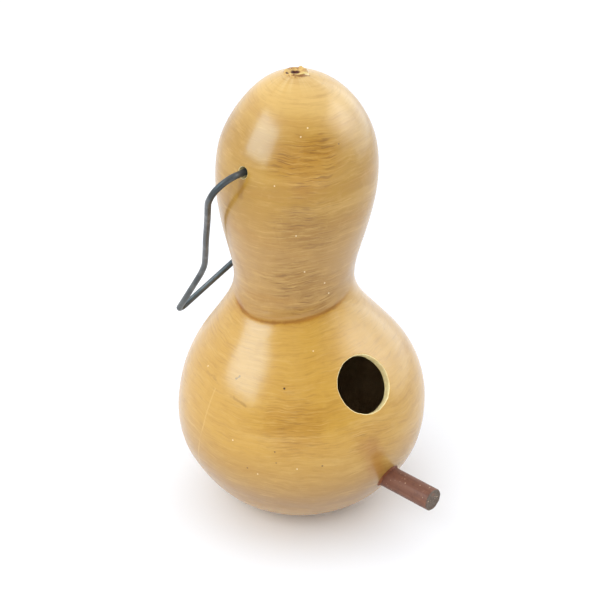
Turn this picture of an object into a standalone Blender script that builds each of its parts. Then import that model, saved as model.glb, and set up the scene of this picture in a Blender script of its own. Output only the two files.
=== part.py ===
"""Birdhouse made from a dried bottle gourd.

One hollow gourd stands on a small flat spot. A round entrance is cut in the front of its lower bulb, a dowel
perch is set in the wall below the entrance, and a bent wire bail swings in two small holes through the upper bulb.

Metres, +Z up. The origin is the middle of the flat spot. The perch points along -Y, and the bail swings about
a line along X.
"""

import math

import bmesh
import bpy
import numpy as np
from mathutils import Vector

MM = 0.001

# The gourd's outline: height above the flat spot and radius, from bottom to top
GOURD_HEIGHT = 257.0 * MM
FLAT_SPOT_RADIUS = 22.0 * MM
BELLY_RADIUS = 70.1 * MM
BELLY_HEIGHT = 57.5 * MM
NECK_RADIUS = 32.75 * MM
NECK_HEIGHT = 141.5 * MM
HEAD_RADIUS = 43.0 * MM
HEAD_HEIGHT = 200.0 * MM
OUTLINE = (
    (0.0, FLAT_SPOT_RADIUS),
    (8.5 * MM, 42.5 * MM),
    (24.5 * MM, 58.5 * MM),
    (42.5 * MM, 68.0 * MM),
    (BELLY_HEIGHT, BELLY_RADIUS),
    (76.5 * MM, 67.7 * MM),
    (92.5 * MM, 61.2 * MM),
    (105.5 * MM, 52.2 * MM),
    (117.5 * MM, 42.8 * MM),
    (129.5 * MM, 35.3 * MM),
    (NECK_HEIGHT, NECK_RADIUS),
    (155.5 * MM, 34.8 * MM),
    (172.5 * MM, 39.2 * MM),
    (188.5 * MM, 42.3 * MM),
    (HEAD_HEIGHT, HEAD_RADIUS),
    (220.5 * MM, 40.5 * MM),
    (236.5 * MM, 32.8 * MM),
    (247.5 * MM, 23.3 * MM),
    (GOURD_HEIGHT, 0.0),
)

# The gourd leans a little to one side as it rises: height and sideways shift of its middle line
LEAN_DIRECTION = math.radians(133.5)
LEAN = (
    (0.0, 0.0),
    (BELLY_HEIGHT, 0.0),
    (80.0 * MM, -0.4 * MM),
    (100.0 * MM, 0.8 * MM),
    (118.0 * MM, 3.0 * MM),
    (NECK_HEIGHT, 4.0 * MM),
    (172.0 * MM, 3.6 * MM),
    (HEAD_HEIGHT, 2.6 * MM),
    (228.0 * MM, 1.5 * MM),
    (248.0 * MM, 1.6 * MM),
    (GOURD_HEIGHT, 3.0 * MM),
)

# The fold across the front, where the neck sits on the lower bulb
FOLD_HEIGHT = 130.5 * MM
FOLD_RISE = 4.0 * MM
FOLD_DEPTH = 1.3 * MM
FOLD_HALF_WIDTH = 2.6 * MM
FOLD_MIDDLE = math.radians(-50.0)
FOLD_HALF_ANGLE = math.radians(72.0)

# The stalk's scar on top is a shallow pit with a raised lip
SCAR_RADIUS = 6.5 * MM
SCAR_DEPTH = 2.2 * MM
SCAR_LIP = 0.8 * MM

WALL = 4.5 * MM

# How finely the gourd is turned: rows are even along the outline, but closer at the fold and on the scar
GOURD_SIDES = 48
ROWS = 34
FOLD_ROWS = 7
FOLD_ROW_SPAN = 9.0 * MM
SCAR_ROWS = (0.35, 0.7, 1.0, 1.4)
ROW_CLEARANCE = 2.5 * MM
FINE_STEPS = 2000

# The entrance, cut square to the wall a little to the left of the perch
ENTRANCE_RADIUS = 15.9 * MM
ENTRANCE_HEIGHT = 97.8 * MM
ENTRANCE_FROM_AXIS = 57.2 * MM
ENTRANCE_TURN = math.radians(-9.7)
ENTRANCE_TILT = math.radians(35.5)

# The perch, a half-inch dowel glued in the wall: distances from the axis to its tip, its root and the wall
PERCH_RADIUS = 6.35 * MM
PERCH_HEIGHT = 37.4 * MM
PERCH_TIP = 98.0 * MM
PERCH_ROOT = 58.0 * MM
PERCH_WALL = 66.0 * MM
PERCH_EDGE = 0.6 * MM
PERCH_GAP = 0.3 * MM
DOWEL_SIDES = 32

# The bail, one bent wire that hangs from two holes through the upper bulb
WIRE_RADIUS = 1.75 * MM
WIRE_HOLE_RADIUS = 3.0 * MM
HINGE_HEIGHT = 214.8 * MM
WIRE_END = 31.0 * MM
BAIL_SWING = math.radians(36.0)
# Each row: distance across (left is minus), distance below the hinge line, and bend radius
BAIL_CORNERS = (
    (-WIRE_END, 0.0, 0.0),
    (-58.3 * MM, 0.0, 10.5 * MM),
    (-58.3 * MM, 16.8 * MM, 26.0 * MM),
    (-9.3 * MM, 115.0 * MM, 60.0 * MM),
    (-3.8 * MM, 171.4 * MM, 2.6 * MM),
    (28.6 * MM, 111.8 * MM, 60.0 * MM),
    (55.0 * MM, 16.8 * MM, 26.0 * MM),
    (55.0 * MM, 0.0, 10.5 * MM),
    (WIRE_END, 0.0, 0.0),
)
BEND_STEP = math.radians(11.0)

# The cutters of the holes are long enough to pass the wall, and that of the wire's holes passes both walls
HOLE_SIDES = 40
ENTRANCE_CUT = 60.0 * MM
PERCH_CUT = 40.0 * MM
WIRE_CUT = 120.0 * MM


def clear_scene():
    for item in list(bpy.data.objects):
        bpy.data.objects.remove(item, do_unlink=True)


def new_collection(name, hidden=False):
    group = bpy.data.collections.new(name)
    bpy.context.scene.collection.children.link(group)
    group.hide_render = hidden
    return group


def move_to(item, group):
    for other in list(item.users_collection):
        other.objects.unlink(item)
    group.objects.link(item)


def material(name, colour, roughness, metallic=0.0):
    made = bpy.data.materials.new(name)
    made.use_nodes = True
    shader = made.node_tree.nodes["Principled BSDF"]
    shader.inputs["Base Color"].default_value = (*colour, 1.0)
    shader.inputs["Roughness"].default_value = roughness
    shader.inputs["Metallic"].default_value = metallic
    made.diffuse_color = (*colour, 1.0)
    return made


def smooth_through(points, values):
    """The natural cubic curve through the points, as a function."""
    x = np.array(points, float)
    y = np.array(values, float)
    gaps = np.diff(x)
    system = np.eye(len(x))
    known = np.zeros(len(x))
    for i in range(1, len(x) - 1):
        system[i, i - 1 : i + 2] = gaps[i - 1], 2 * (gaps[i - 1] + gaps[i]), gaps[i]
        known[i] = 6 * ((y[i + 1] - y[i]) / gaps[i] - (y[i] - y[i - 1]) / gaps[i - 1])
    bend = np.linalg.solve(system, known)

    def at(t):
        t = np.asarray(t, float)
        i = np.clip(np.searchsorted(x, t) - 1, 0, len(x) - 2)
        before = t - x[i]
        after = x[i + 1] - t
        gap = gaps[i]
        curved = (bend[i] * after**3 + bend[i + 1] * before**3) / (6 * gap)
        straight = (y[i] / gap - bend[i] * gap / 6) * after
        return curved + straight + (y[i + 1] / gap - bend[i + 1] * gap / 6) * before

    return at


# A radius that is smooth when squared gives the gourd round ends
heights = [height for height, _ in OUTLINE]
radius_squared = smooth_through(heights, [radius**2 for _, radius in OUTLINE])
lean_at = smooth_through([height for height, _ in LEAN], [shift for _, shift in LEAN])


def radius_at(height):
    return np.sqrt(np.maximum(radius_squared(height), 0.0))


def outline_points():
    """Radius and height down the outer side, from the top to the rim of the flat spot, then its middle."""
    fine = GOURD_HEIGHT * (1 + np.cos(np.linspace(0, math.pi, FINE_STEPS))) / 2
    radius = radius_at(fine)
    along = np.concatenate([[0.0], np.cumsum(np.hypot(np.diff(radius), np.diff(fine)))])
    even = np.interp(np.linspace(0, along[-1], ROWS), along, fine)
    fold_rows = FOLD_HEIGHT + FOLD_ROW_SPAN * np.linspace(1, -1, FOLD_ROWS)
    on_top = fine > HEAD_HEIGHT
    scar_rows = np.interp(np.array(SCAR_ROWS) * SCAR_RADIUS, radius[on_top], fine[on_top])
    clear_of_fold = np.abs(even - FOLD_HEIGHT) > FOLD_ROW_SPAN + ROW_CLEARANCE
    clear_of_scar = even < scar_rows[-1] - ROW_CLEARANCE
    even = even[clear_of_fold & clear_of_scar]
    height = np.sort(np.concatenate([[GOURD_HEIGHT], even, fold_rows, scar_rows]))[::-1]
    return [(float(radius_at(h)), float(h)) for h in height] + [(0.0, 0.0)]


def fold_depth(turn, height):
    """How far the fold is pressed in at a turn round the gourd and a height."""
    from_middle = np.clip((turn - FOLD_MIDDLE) / FOLD_HALF_ANGLE, -1, 1)
    line = FOLD_HEIGHT + FOLD_RISE * from_middle
    reach = np.cos(from_middle * math.pi / 2) ** 0.5
    return FOLD_DEPTH * reach * np.exp(-(((height - line) / FOLD_HALF_WIDTH) ** 2))


def scar_rise(radius, height):
    """Height of the scar's lip and depth of its pit at a distance from the top."""
    u = radius / SCAR_RADIUS
    pit = -SCAR_DEPTH * np.exp(-((u / 0.6) ** 2))
    lip = SCAR_LIP * np.exp(-(((u - 1.0) / 0.35) ** 2))
    return np.where(height > HEAD_HEIGHT, pit + lip, 0.0)


def turned_gourd(group):
    """The outline turned about the Z axis by a Screw modifier, still a surface with no wall."""
    profile = bpy.data.meshes.new("gourd_outline")
    points = outline_points()
    profile.from_pydata([(r, 0.0, z) for r, z in points], [(i, i + 1) for i in range(len(points) - 1)], [])
    turned = bpy.data.objects.new("gourd_turned", profile)
    group.objects.link(turned)
    screw = turned.modifiers.new("turn", "SCREW")
    screw.axis = "Z"
    screw.angle = math.tau
    screw.steps = GOURD_SIDES
    screw.render_steps = GOURD_SIDES
    screw.use_merge_vertices = True
    screw.merge_threshold = 0.0001
    graph = bpy.context.evaluated_depsgraph_get()
    mesh = bpy.data.meshes.new_from_object(turned.evaluated_get(graph))
    bpy.data.objects.remove(turned)
    return mesh


def shape_as_grown(mesh):
    """Presses in the fold, models the stalk's scar and leans the middle line."""
    flat = np.empty(len(mesh.vertices) * 3)
    mesh.vertices.foreach_get("co", flat)
    co = flat.reshape(-1, 3)
    radius = np.hypot(co[:, 0], co[:, 1])
    height = co[:, 2].copy()
    turn = np.arctan2(co[:, 0], -co[:, 1])
    keep = 1 - fold_depth(turn, height) / np.maximum(radius, SCAR_RADIUS)
    co[:, 0] = co[:, 0] * keep + lean_at(height) * math.cos(LEAN_DIRECTION)
    co[:, 1] = co[:, 1] * keep + lean_at(height) * math.sin(LEAN_DIRECTION)
    co[:, 2] = height + scar_rise(radius, height)
    mesh.vertices.foreach_set("co", co.ravel())
    mesh.update()


def cutter(group, name, radius, length, middle, direction):
    """A round cutter of a given length, centred on a point and lying along a direction."""
    mesh = bpy.data.meshes.new(name)
    shape = bmesh.new()
    bmesh.ops.create_cone(
        shape, cap_ends=True, segments=HOLE_SIDES, radius1=radius, radius2=radius, depth=length
    )
    shape.to_mesh(mesh)
    shape.free()
    item = bpy.data.objects.new(name, mesh)
    item.location = middle
    item.rotation_mode = "QUATERNION"
    item.rotation_quaternion = direction.to_track_quat("Z", "Y")
    item.hide_render = True
    item.display_type = "WIRE"
    group.objects.link(item)
    return item


def entrance_axis():
    """A point on the wall at the middle of the entrance, and the way out of it."""
    level = Vector((math.sin(ENTRANCE_TURN), -math.cos(ENTRANCE_TURN), 0.0))
    shift = float(lean_at(ENTRANCE_HEIGHT))
    middle = level * ENTRANCE_FROM_AXIS
    middle += Vector((shift * math.cos(LEAN_DIRECTION), shift * math.sin(LEAN_DIRECTION), ENTRANCE_HEIGHT))
    return middle, level * math.cos(ENTRANCE_TILT) + Vector((0, 0, math.sin(ENTRANCE_TILT)))


def make_gourd(parts, cutters):
    mesh = turned_gourd(parts)
    shape_as_grown(mesh)
    gourd = bpy.data.objects.new("gourd", mesh)
    parts.objects.link(gourd)
    mesh.materials.clear()
    mesh.materials.append(material("varnished_gourd", (0.62, 0.36, 0.12), 0.35))
    mesh.shade_smooth()
    wall = gourd.modifiers.new("wall", "SOLIDIFY")
    wall.thickness = WALL
    wall.offset = -1.0
    wall.use_even_offset = True
    entrance, outward = entrance_axis()
    perch_root = Vector((0, -PERCH_WALL, PERCH_HEIGHT))
    forward = Vector((0, -1, 0))
    hinge = Vector((0, 0, HINGE_HEIGHT))
    sideways = Vector((1, 0, 0))
    holes = (
        cutter(cutters, "cut_entrance", ENTRANCE_RADIUS, ENTRANCE_CUT, entrance, outward),
        cutter(cutters, "cut_perch_hole", PERCH_RADIUS + PERCH_GAP, PERCH_CUT, perch_root, forward),
        cutter(cutters, "cut_wire_holes", WIRE_HOLE_RADIUS, WIRE_CUT, hinge, sideways),
    )
    for hole in holes:
        cut = gourd.modifiers.new(hole.name, "BOOLEAN")
        cut.operation = "DIFFERENCE"
        cut.solver = "EXACT"
        cut.object = hole
    return gourd


def make_perch(parts):
    bpy.ops.mesh.primitive_cylinder_add(
        vertices=DOWEL_SIDES,
        radius=PERCH_RADIUS,
        depth=PERCH_TIP - PERCH_ROOT,
        location=(0, -(PERCH_TIP + PERCH_ROOT) / 2, PERCH_HEIGHT),
        rotation=(math.pi / 2, 0, 0),
    )
    perch = bpy.context.object
    perch.name = "perch"
    move_to(perch, parts)
    perch.data.materials.append(material("stained_dowel", (0.22, 0.085, 0.05), 0.5))
    edge = perch.modifiers.new("softened_ends", "BEVEL")
    edge.width = PERCH_EDGE
    edge.segments = 2
    edge.limit_method = "ANGLE"
    perch.data.shade_smooth()
    perch.data.set_sharp_from_angle(angle=math.radians(35))
    return perch


def rounded_route(corners):
    """Points along straight runs with a round bend of the given radius at each inner corner."""
    route = [np.array(corners[0][:2])]
    for before, corner, after in zip(corners, corners[1:], corners[2:]):
        middle = np.array(corner[:2])
        back = np.array(before[:2]) - middle
        ahead = np.array(after[:2]) - middle
        back = back / np.linalg.norm(back)
        ahead = ahead / np.linalg.norm(ahead)
        half = math.acos(float(np.clip(back @ ahead, -1, 1))) / 2
        split = back + ahead
        split = split / np.linalg.norm(split)
        centre = middle + split * corner[2] / math.sin(half)
        first = middle + back * corner[2] / math.tan(half) - centre
        last = middle + ahead * corner[2] / math.tan(half) - centre
        sweep = math.pi - 2 * half
        steps = max(2, math.ceil(sweep / BEND_STEP))
        for i in range(steps + 1):
            share = i / steps
            mixed = first * math.sin((1 - share) * sweep) + last * math.sin(share * sweep)
            route.append(centre + mixed / math.sin(sweep))
    route.append(np.array(corners[-1][:2]))
    return route


def make_hanger(parts):
    """The wire is drawn hanging straight down from its hinge line, then swung back."""
    line = bpy.data.curves.new("bail_wire", "CURVE")
    line.dimensions = "3D"
    line.bevel_depth = WIRE_RADIUS
    line.bevel_resolution = 2
    line.use_fill_caps = True
    route = rounded_route(BAIL_CORNERS)
    spline = line.splines.new("POLY")
    spline.points.add(len(route) - 1)
    for point, (across, below) in zip(spline.points, route):
        point.co = (across, 0.0, -below, 1.0)
    line.materials.append(material("dark_wire", (0.05, 0.055, 0.06), 0.35, 0.9))
    hanger = bpy.data.objects.new("hanger", line)
    hanger.location = (0, 0, HINGE_HEIGHT)
    hanger.rotation_euler = (BAIL_SWING, 0, 0)
    parts.objects.link(hanger)
    return hanger


clear_scene()
parts = new_collection("gourd_birdhouse")
cutters = new_collection("cutters", hidden=True)
make_gourd(parts, cutters)
make_perch(parts)
make_hanger(parts)
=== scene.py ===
# %% [markdown]
# # A birdhouse made from a dried bottle gourd
#
# A bottle gourd dries to a light, hard, hollow shell with a small bulb, a waist and a big bulb. This one
# was varnished, given a round entrance and a dowel perch, and hung on a bent wire. The construction is
# already packed as a frame of plain solids, so this script only dresses it: every piece is rebuilt finely
# where the solid is, and every finish is made from shader nodes.

# %% Load the frame
import math

import bpy
import numpy as np
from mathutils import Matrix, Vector


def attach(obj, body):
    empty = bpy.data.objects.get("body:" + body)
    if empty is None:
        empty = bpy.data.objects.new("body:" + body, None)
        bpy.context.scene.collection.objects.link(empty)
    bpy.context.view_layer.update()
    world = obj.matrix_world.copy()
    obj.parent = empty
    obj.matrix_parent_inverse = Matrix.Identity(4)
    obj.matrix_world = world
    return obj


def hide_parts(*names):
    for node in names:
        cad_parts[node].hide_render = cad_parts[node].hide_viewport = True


MM = 0.001
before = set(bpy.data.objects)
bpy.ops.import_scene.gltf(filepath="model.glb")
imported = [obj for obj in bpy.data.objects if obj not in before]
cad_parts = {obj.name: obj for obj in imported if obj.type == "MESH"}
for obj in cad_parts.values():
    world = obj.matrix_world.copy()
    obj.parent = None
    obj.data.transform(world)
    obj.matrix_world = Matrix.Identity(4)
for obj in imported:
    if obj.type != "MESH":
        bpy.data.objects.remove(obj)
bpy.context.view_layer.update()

# %% [markdown]
# ## The camera
#
# The gourd was photographed from its front left and from a little above. The view was solved from the
# outline, the entrance and the perch, so the camera is placed by an angle round the gourd, an angle above
# the table and a distance. A long lens far away keeps the gourd's proportions.

# %% Place the camera
CAMERA_TURN = math.radians(-46.5)
CAMERA_RISE = math.radians(29.5)
CAMERA_DISTANCE = 880.0 * MM
AIM_HEIGHT = 123.3 * MM
AIM_SIDEWAYS = -0.825 * MM
LENS = 96.0
SENSOR = 36.0


def way(turn, rise=0.0):
    """The level direction at a turn from -Y towards +X, raised by an angle."""
    return Vector((math.sin(turn) * math.cos(rise), -math.cos(turn) * math.cos(rise), math.sin(rise)))


def aim(item, place, target):
    """Puts an object at a place, turned so that it looks at the target."""
    item.location = place
    item.rotation_mode = "QUATERNION"
    item.rotation_quaternion = (target - place).to_track_quat("-Z", "Y")


scene = bpy.context.scene
scene.view_settings.view_transform = "Standard"
camera = bpy.data.objects.new("camera", bpy.data.cameras.new("camera"))
camera.data.lens = LENS
camera.data.sensor_width = SENSOR
to_the_right = Vector((math.cos(CAMERA_TURN), math.sin(CAMERA_TURN), 0.0))
target = Vector((0.0, 0.0, AIM_HEIGHT)) + to_the_right * AIM_SIDEWAYS
aim(camera, target + way(CAMERA_TURN, CAMERA_RISE) * CAMERA_DISTANCE, target)
scene.collection.objects.link(camera)
scene.camera = camera
print("camera at", [round(value, 4) for value in camera.location])

# %% [markdown]
# ## A way to write finishes as sums
#
# A finish here is layers: a ground colour, streaks, stains, specks. Wiring each layer by hand makes a
# long script, so one small class wraps a node's output. Ordinary sums on it add Math nodes, and one
# method adds any other node.


# %% The shader-maths class
def sums(operation):
    """A method that adds the Math node of an operation on two layers or numbers."""
    return lambda self, other: self.maths(operation, self, other)


class Layer:
    """An output socket of a node tree. `1 - mask` or `dots * 0.5 + wash` adds the Math nodes for that sum."""

    __add__ = __radd__ = sums("ADD")
    __sub__ = sums("SUBTRACT")
    __mul__ = sums("MULTIPLY")
    __truediv__ = sums("DIVIDE")
    most = sums("MAXIMUM")
    least = sums("MINIMUM")

    def __init__(self, tree, socket=None):
        self.tree = tree
        self.socket = socket

    def fill(self, socket, value):
        """Links a layer to a socket, or writes a plain value in it."""
        if isinstance(value, Layer):
            self.tree.links.new(value.socket, socket)
        else:
            socket.default_value = value

    def node(self, kind, sockets=None, out=0, stops=(), **settings):
        """Adds a node: first its settings and ramp stops, then its sockets' values or links."""
        made = self.tree.nodes.new("ShaderNode" + kind)
        for name, value in settings.items():
            setattr(made, name, value)
        for count, (place, colour) in enumerate(stops):
            ramp = made.color_ramp.elements
            stop = ramp[count] if count < 2 else ramp.new(place)
            stop.position = place
            stop.color = (*colour, 1.0)
        for name, value in (sockets or {}).items():
            self.fill(made.inputs[name], value)
        return Layer(self.tree, made.outputs[out])

    def maths(self, operation, *values, **settings):
        return self.node("Math", dict(enumerate(values)), operation=operation, **settings)

    def __rsub__(self, other):
        return self.maths("SUBTRACT", other, self)

    def rise(self, low, high):
        """0 below low, 1 above high and smooth between; with low above high it falls instead."""
        sockets = {"Value": self, "From Min": low, "From Max": high}
        return self.node("MapRange", sockets, interpolation_type="SMOOTHSTEP")


print("sums ready:", [name for name in vars(Layer) if name.startswith("__r")])

# %% [markdown]
# A few helpers turn the class into a paint box. `mixed` lays one colour over another by a mask, `covered`
# lays several in turn, `grain` is noise stretched along one or more directions, and `new_finish` starts a
# material.


# %% Paint-box helpers
def mixed(mask, under, over):
    """The colour under, covered by the colour over where the mask is 1."""
    ends = [value if isinstance(value, Layer) else (*value, 1.0) for value in (under, over)]
    return mask.node("Mix", {0: mask, 6: ends[0], 7: ends[1]}, out=2, data_type="RGBA")


def covered(colour, *layers):
    """The colour with each (mask, colour) pair laid over it in turn."""
    for mask, over in layers:
        colour = mixed(mask, colour, over)
    return colour


def stretched(vector, scales):
    """The vector with each of its parts multiplied by its own scale."""
    return vector.node("VectorMath", {0: vector, 1: scales}, operation="MULTIPLY")


def parts_of(vector):
    """The x, y and z of a vector as three layers."""
    apart = vector.node("SeparateXYZ", {0: vector}).socket.node
    return [Layer(vector.tree, part) for part in apart.outputs]


def grain(vector, scales, detail=2.0, roughness=0.5):
    """Noise from 0 to 1 with `scales` features a metre, one number or one for each direction."""
    if not isinstance(scales, tuple):
        scales = (scales, scales, scales)
    sockets = {"Vector": stretched(vector, scales), "Scale": 1.0, "Detail": detail, "Roughness": roughness}
    return vector.node("TexNoise", sockets)


def new_finish(name):
    """A new material, its Principled shader node and the layer of its object coordinates."""
    finish = bpy.data.materials.new(name)
    finish.use_nodes = True
    at = Layer(finish.node_tree).node("TexCoord", out="Object")
    return finish, finish.node_tree.nodes["Principled BSDF"], at


def set_shader(shader, at, **values):
    """Fills the shader's sockets; an underscore in a name stands for a space."""
    for name, value in values.items():
        at.fill(shader.inputs[name.replace("_", " ")], value)


def raised(at, height, depth):
    """A Normal from a height layer, whose full range is `depth` metres."""
    return at.node("Bump", {"Height": height, "Distance": depth, "Strength": 1.0})


# %% [markdown]
# ## The outline of the gourd
#
# The solid was turned from a list of heights and radii, and leans a little as it rises. The same values
# are repeated here, so the fine surface lies where the solid is. The square of the radius is a smooth
# curve of the height, which makes both ends round.

# %% The outline and the lean, as in the construction
GOURD_HEIGHT = 257.0 * MM
OUTLINE = np.array([
    (0.0, 22.0), (8.5, 42.5), (24.5, 58.5), (42.5, 68.0), (57.5, 70.1), (76.5, 67.7), (92.5, 61.2),
    (105.5, 52.2), (117.5, 42.8), (129.5, 35.3), (141.5, 32.75), (155.5, 34.8), (172.5, 39.2), (188.5, 42.3),
    (200.0, 43.0), (220.5, 40.5), (236.5, 32.8), (247.5, 23.3), (257.0, 0.0),
])
LEAN_DIRECTION = math.radians(133.5)
LEAN = np.array([
    (0.0, 0.0), (57.5, 0.0), (80.0, -0.4), (100.0, 0.8), (118.0, 3.0), (141.5, 4.0), (172.0, 3.6),
    (200.0, 2.6), (228.0, 1.5), (248.0, 1.6), (257.0, 3.0),
])


def smooth_through(x, y):
    """The natural cubic curve through the points: slopes and bends meet, and both ends are unbent."""
    gaps = np.diff(x)
    system = np.eye(len(x))
    known = np.zeros(len(x))
    for i in range(1, len(x) - 1):
        system[i, i - 1 : i + 2] = gaps[i - 1], 2 * (gaps[i - 1] + gaps[i]), gaps[i]
        known[i] = 6 * ((y[i + 1] - y[i]) / gaps[i] - (y[i] - y[i - 1]) / gaps[i - 1])
    bend = np.linalg.solve(system, known)

    def at(t):
        i = np.clip(np.searchsorted(x, t) - 1, 0, len(x) - 2)
        before = t - x[i]
        after = x[i + 1] - t
        gap = gaps[i]
        curved = (bend[i] * after**3 + bend[i + 1] * before**3) / (6 * gap)
        straight = (y[i] / gap - bend[i] * gap / 6) * after
        return curved + straight + (y[i + 1] / gap - bend[i + 1] * gap / 6) * before

    return at


radius_squared = smooth_through(OUTLINE[:, 0] * MM, (OUTLINE[:, 1] * MM) ** 2)
lean_at = smooth_through(LEAN[:, 0] * MM, LEAN[:, 1] * MM)
print("widest radius", round(float(np.sqrt(radius_squared(57.5 * MM))) * 1000, 2), "mm")

# %% [markdown]
# Every pattern on a gourd runs round it or along it, so the surface is described by a turn round the axis
# and a distance along the outline, from the middle of the flat spot to the stalk. That distance stays
# even where the outline lies flat, which a height would not.

# %% The path from the flat spot to the stalk
FINE_STEPS = 4000
CORNER_ROUNDING = 5.0 * MM


def outline_path():
    """Distance along, radius and height at even steps; a moving average rounds the flat spot's corner."""
    height = GOURD_HEIGHT * (1 - np.cos(np.linspace(0, math.pi, FINE_STEPS))) / 2
    radius = np.sqrt(np.maximum(radius_squared(height), 0.0))
    flat = np.linspace(0, radius[0], FINE_STEPS // 10)[:-1]
    radius = np.concatenate([flat, radius])
    height = np.concatenate([flat * 0, height])
    along = np.concatenate([[0.0], np.cumsum(np.hypot(np.diff(radius), np.diff(height)))])
    even = np.linspace(0, along[-1], FINE_STEPS)
    half = int(CORNER_ROUNDING / even[1])
    window = np.hanning(2 * half + 1)
    window /= window.sum()
    radius = np.interp(even, along, radius)
    height = np.interp(even, along, height)
    # Past each pole the outline goes on down the far side, where the radius counts as negative
    radius = np.concatenate([-radius[half:0:-1], radius, -radius[-2 : -half - 2 : -1]])
    height = np.concatenate([height[half:0:-1], height, height[-2 : -half - 2 : -1]])
    radius = np.convolve(radius, window, "valid")
    height = np.convolve(height, window, "valid")
    return even, radius, height - height.min()


path_along, path_radius, path_height = outline_path()
slope_radius = np.gradient(path_radius, path_along)
slope_height = np.gradient(path_height, path_along)


def along_at(height):
    """Distance along the outline at a height."""
    return np.interp(height, path_height, path_along)


print("outline", round(path_along[-1] * 1000, 1), "mm long")

# %% [markdown]
# ## Relief: what makes it a gourd and not a turned shape
#
# Where the neck sits on the big bulb the skin has folded in a line across the front. The stalk broke off
# and left a pit with a torn lip. The shell is also a little uneven all over, which shows in the edges of
# reflections. Each is a formula of the turn and the distance along, in metres outwards.

# %% Relief of the skin
# The fold's line: turn in degrees and height in millimetres
FOLD = np.array([
    (-180.0, 136.0), (-150.0, 135.5), (-122.0, 133.0), (-104.0, 130.2), (-88.0, 128.3),
    (-68.0, 128.4), (-45.0, 130.0), (-20.0, 132.3), (6.0, 135.4), (24.0, 138.0), (70.0, 139.0),
    (125.0, 137.0), (180.0, 136.0),
])
FOLD_LEFT_END = math.radians(-124.0)
FOLD_RIGHT_END = math.radians(30.0)
fold_line = smooth_through(np.radians(FOLD[:, 0]), FOLD[:, 1] * MM)
SCAR_RADIUS = 6.5 * MM
SCAR_SHARE = 0.84
# Bells of the fold: rise, place above its line and width, in millimetres
FOLD_BELLS = ((-0.35, 0.0, 0.85), (-0.5, -1.0, 3.5), (0.4, 3.0, 2.6))
# Pit, notch and horn of the scar: rise, place to the right and nearer, and width in millimetres, and stretch
SCAR_BELLS = ((-3.0, -0.4, -1.3, 2.5, 1.0), (-1.5, -4.7, 1.7, 1.3, 1.3), (1.2, 2.6, -4.5, 1.7, 1.0))
# Waves of the shell: size, waves round it, radians for every WAVE_SPAN along it, start
WAVES = ((1.0, 2, 9, 0.4), (0.7, 3, -6, 2.0), (0.5, 5, 14, 1.1), (0.35, 9, -21, 0.0))
WAVE_SPAN = 100 * MM
WAVE_RISE = 0.11 * MM
CALM_END = 60 * MM
FRONT = math.cos(CAMERA_TURN), math.sin(CAMERA_TURN)


def bump(distance, width):
    """A round bell: 1 at distance 0, falling to 0.37 at one width."""
    return np.exp(-((distance / width) ** 2))


def smooth(share):
    """0 to 1 with level ends: 3t^2 - 2t^3."""
    share = np.clip(share, 0, 1)
    return share * share * (3 - 2 * share)


def crease_strength(turn):
    """1 across the front and 0 past the fold's two ends."""
    return smooth((turn - FOLD_LEFT_END) / 0.45) * smooth((FOLD_RIGHT_END - turn) / 0.8)


def fold_relief(turn, height):
    """A narrow groove in a wide dip, with the skin above it bulging a little; it fades at both ends."""
    above = height - fold_line(turn)
    bells = sum(rise * MM * bump(above - place * MM, width * MM) for rise, place, width in FOLD_BELLS)
    return crease_strength(turn) * bells


def scar_relief(turn, radius, height):
    """The stalk's scar, drawn 1 / SCAR_SHARE too big: right and near are distances from its middle."""
    radius = radius / SCAR_SHARE
    x = radius * np.sin(turn)
    y = -radius * np.cos(turn)
    right = x * FRONT[0] + y * FRONT[1]
    near = x * FRONT[1] - y * FRONT[0]
    wobble = 1 + 0.2 * np.sin(2 * turn + 0.6) + 0.15 * np.sin(5 * turn + 1.0) + 0.08 * np.sin(11 * turn)
    rim = 1.0 * MM * wobble * bump(radius - SCAR_RADIUS + 0.6 * MM, 1.5 * MM)
    nick = -0.9 * MM * bump(radius - SCAR_RADIUS - 1.2 * MM, 0.6 * MM) * bump(turn - CAMERA_TURN, 0.9)
    relief = rim + nick
    for rise, to_the_right, nearer, width, stretch in SCAR_BELLS:
        off = np.hypot(right - to_the_right * MM, (near - nearer * MM) / stretch)
        relief = relief + rise * MM * bump(off, width * MM)
    return np.where(height > GOURD_HEIGHT / 2, relief, 0.0)


def blossom_relief(radius, height):
    """The blossom's small button in the middle of the flat spot, set up in a shallow dish."""
    dish = -0.9 * MM * bump(radius, 9.0 * MM)
    button = 0.7 * MM * bump(radius, 2.2 * MM)
    return np.where(height < 20 * MM, dish + button, 0.0)


def unevenness(turn, along):
    """A slow swelling and shrinking round and along the shell: a few waves, calm towards both ends."""
    wave = sum(size * np.sin(beats * turn + climb * along / WAVE_SPAN + start)
               for size, beats, climb, start in WAVES)
    ends = np.clip(along / CALM_END, 0, 1) * np.clip((path_along[-1] - along) / CALM_END, 0, 1)
    return WAVE_RISE * wave * ends


print("deepest fold", round(float(fold_relief(-1.0, fold_line(-1.0))) * 1000, 2), "mm")

# %% [markdown]
# One function now gives every point of the shell. It starts on the outline, moves in or out square to it,
# turns round the axis and leans. With `inward` 0 it is the skin; with the wall's thickness it is the
# inside.

# %% The shell as a function
WALL = 4.5 * MM


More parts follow.
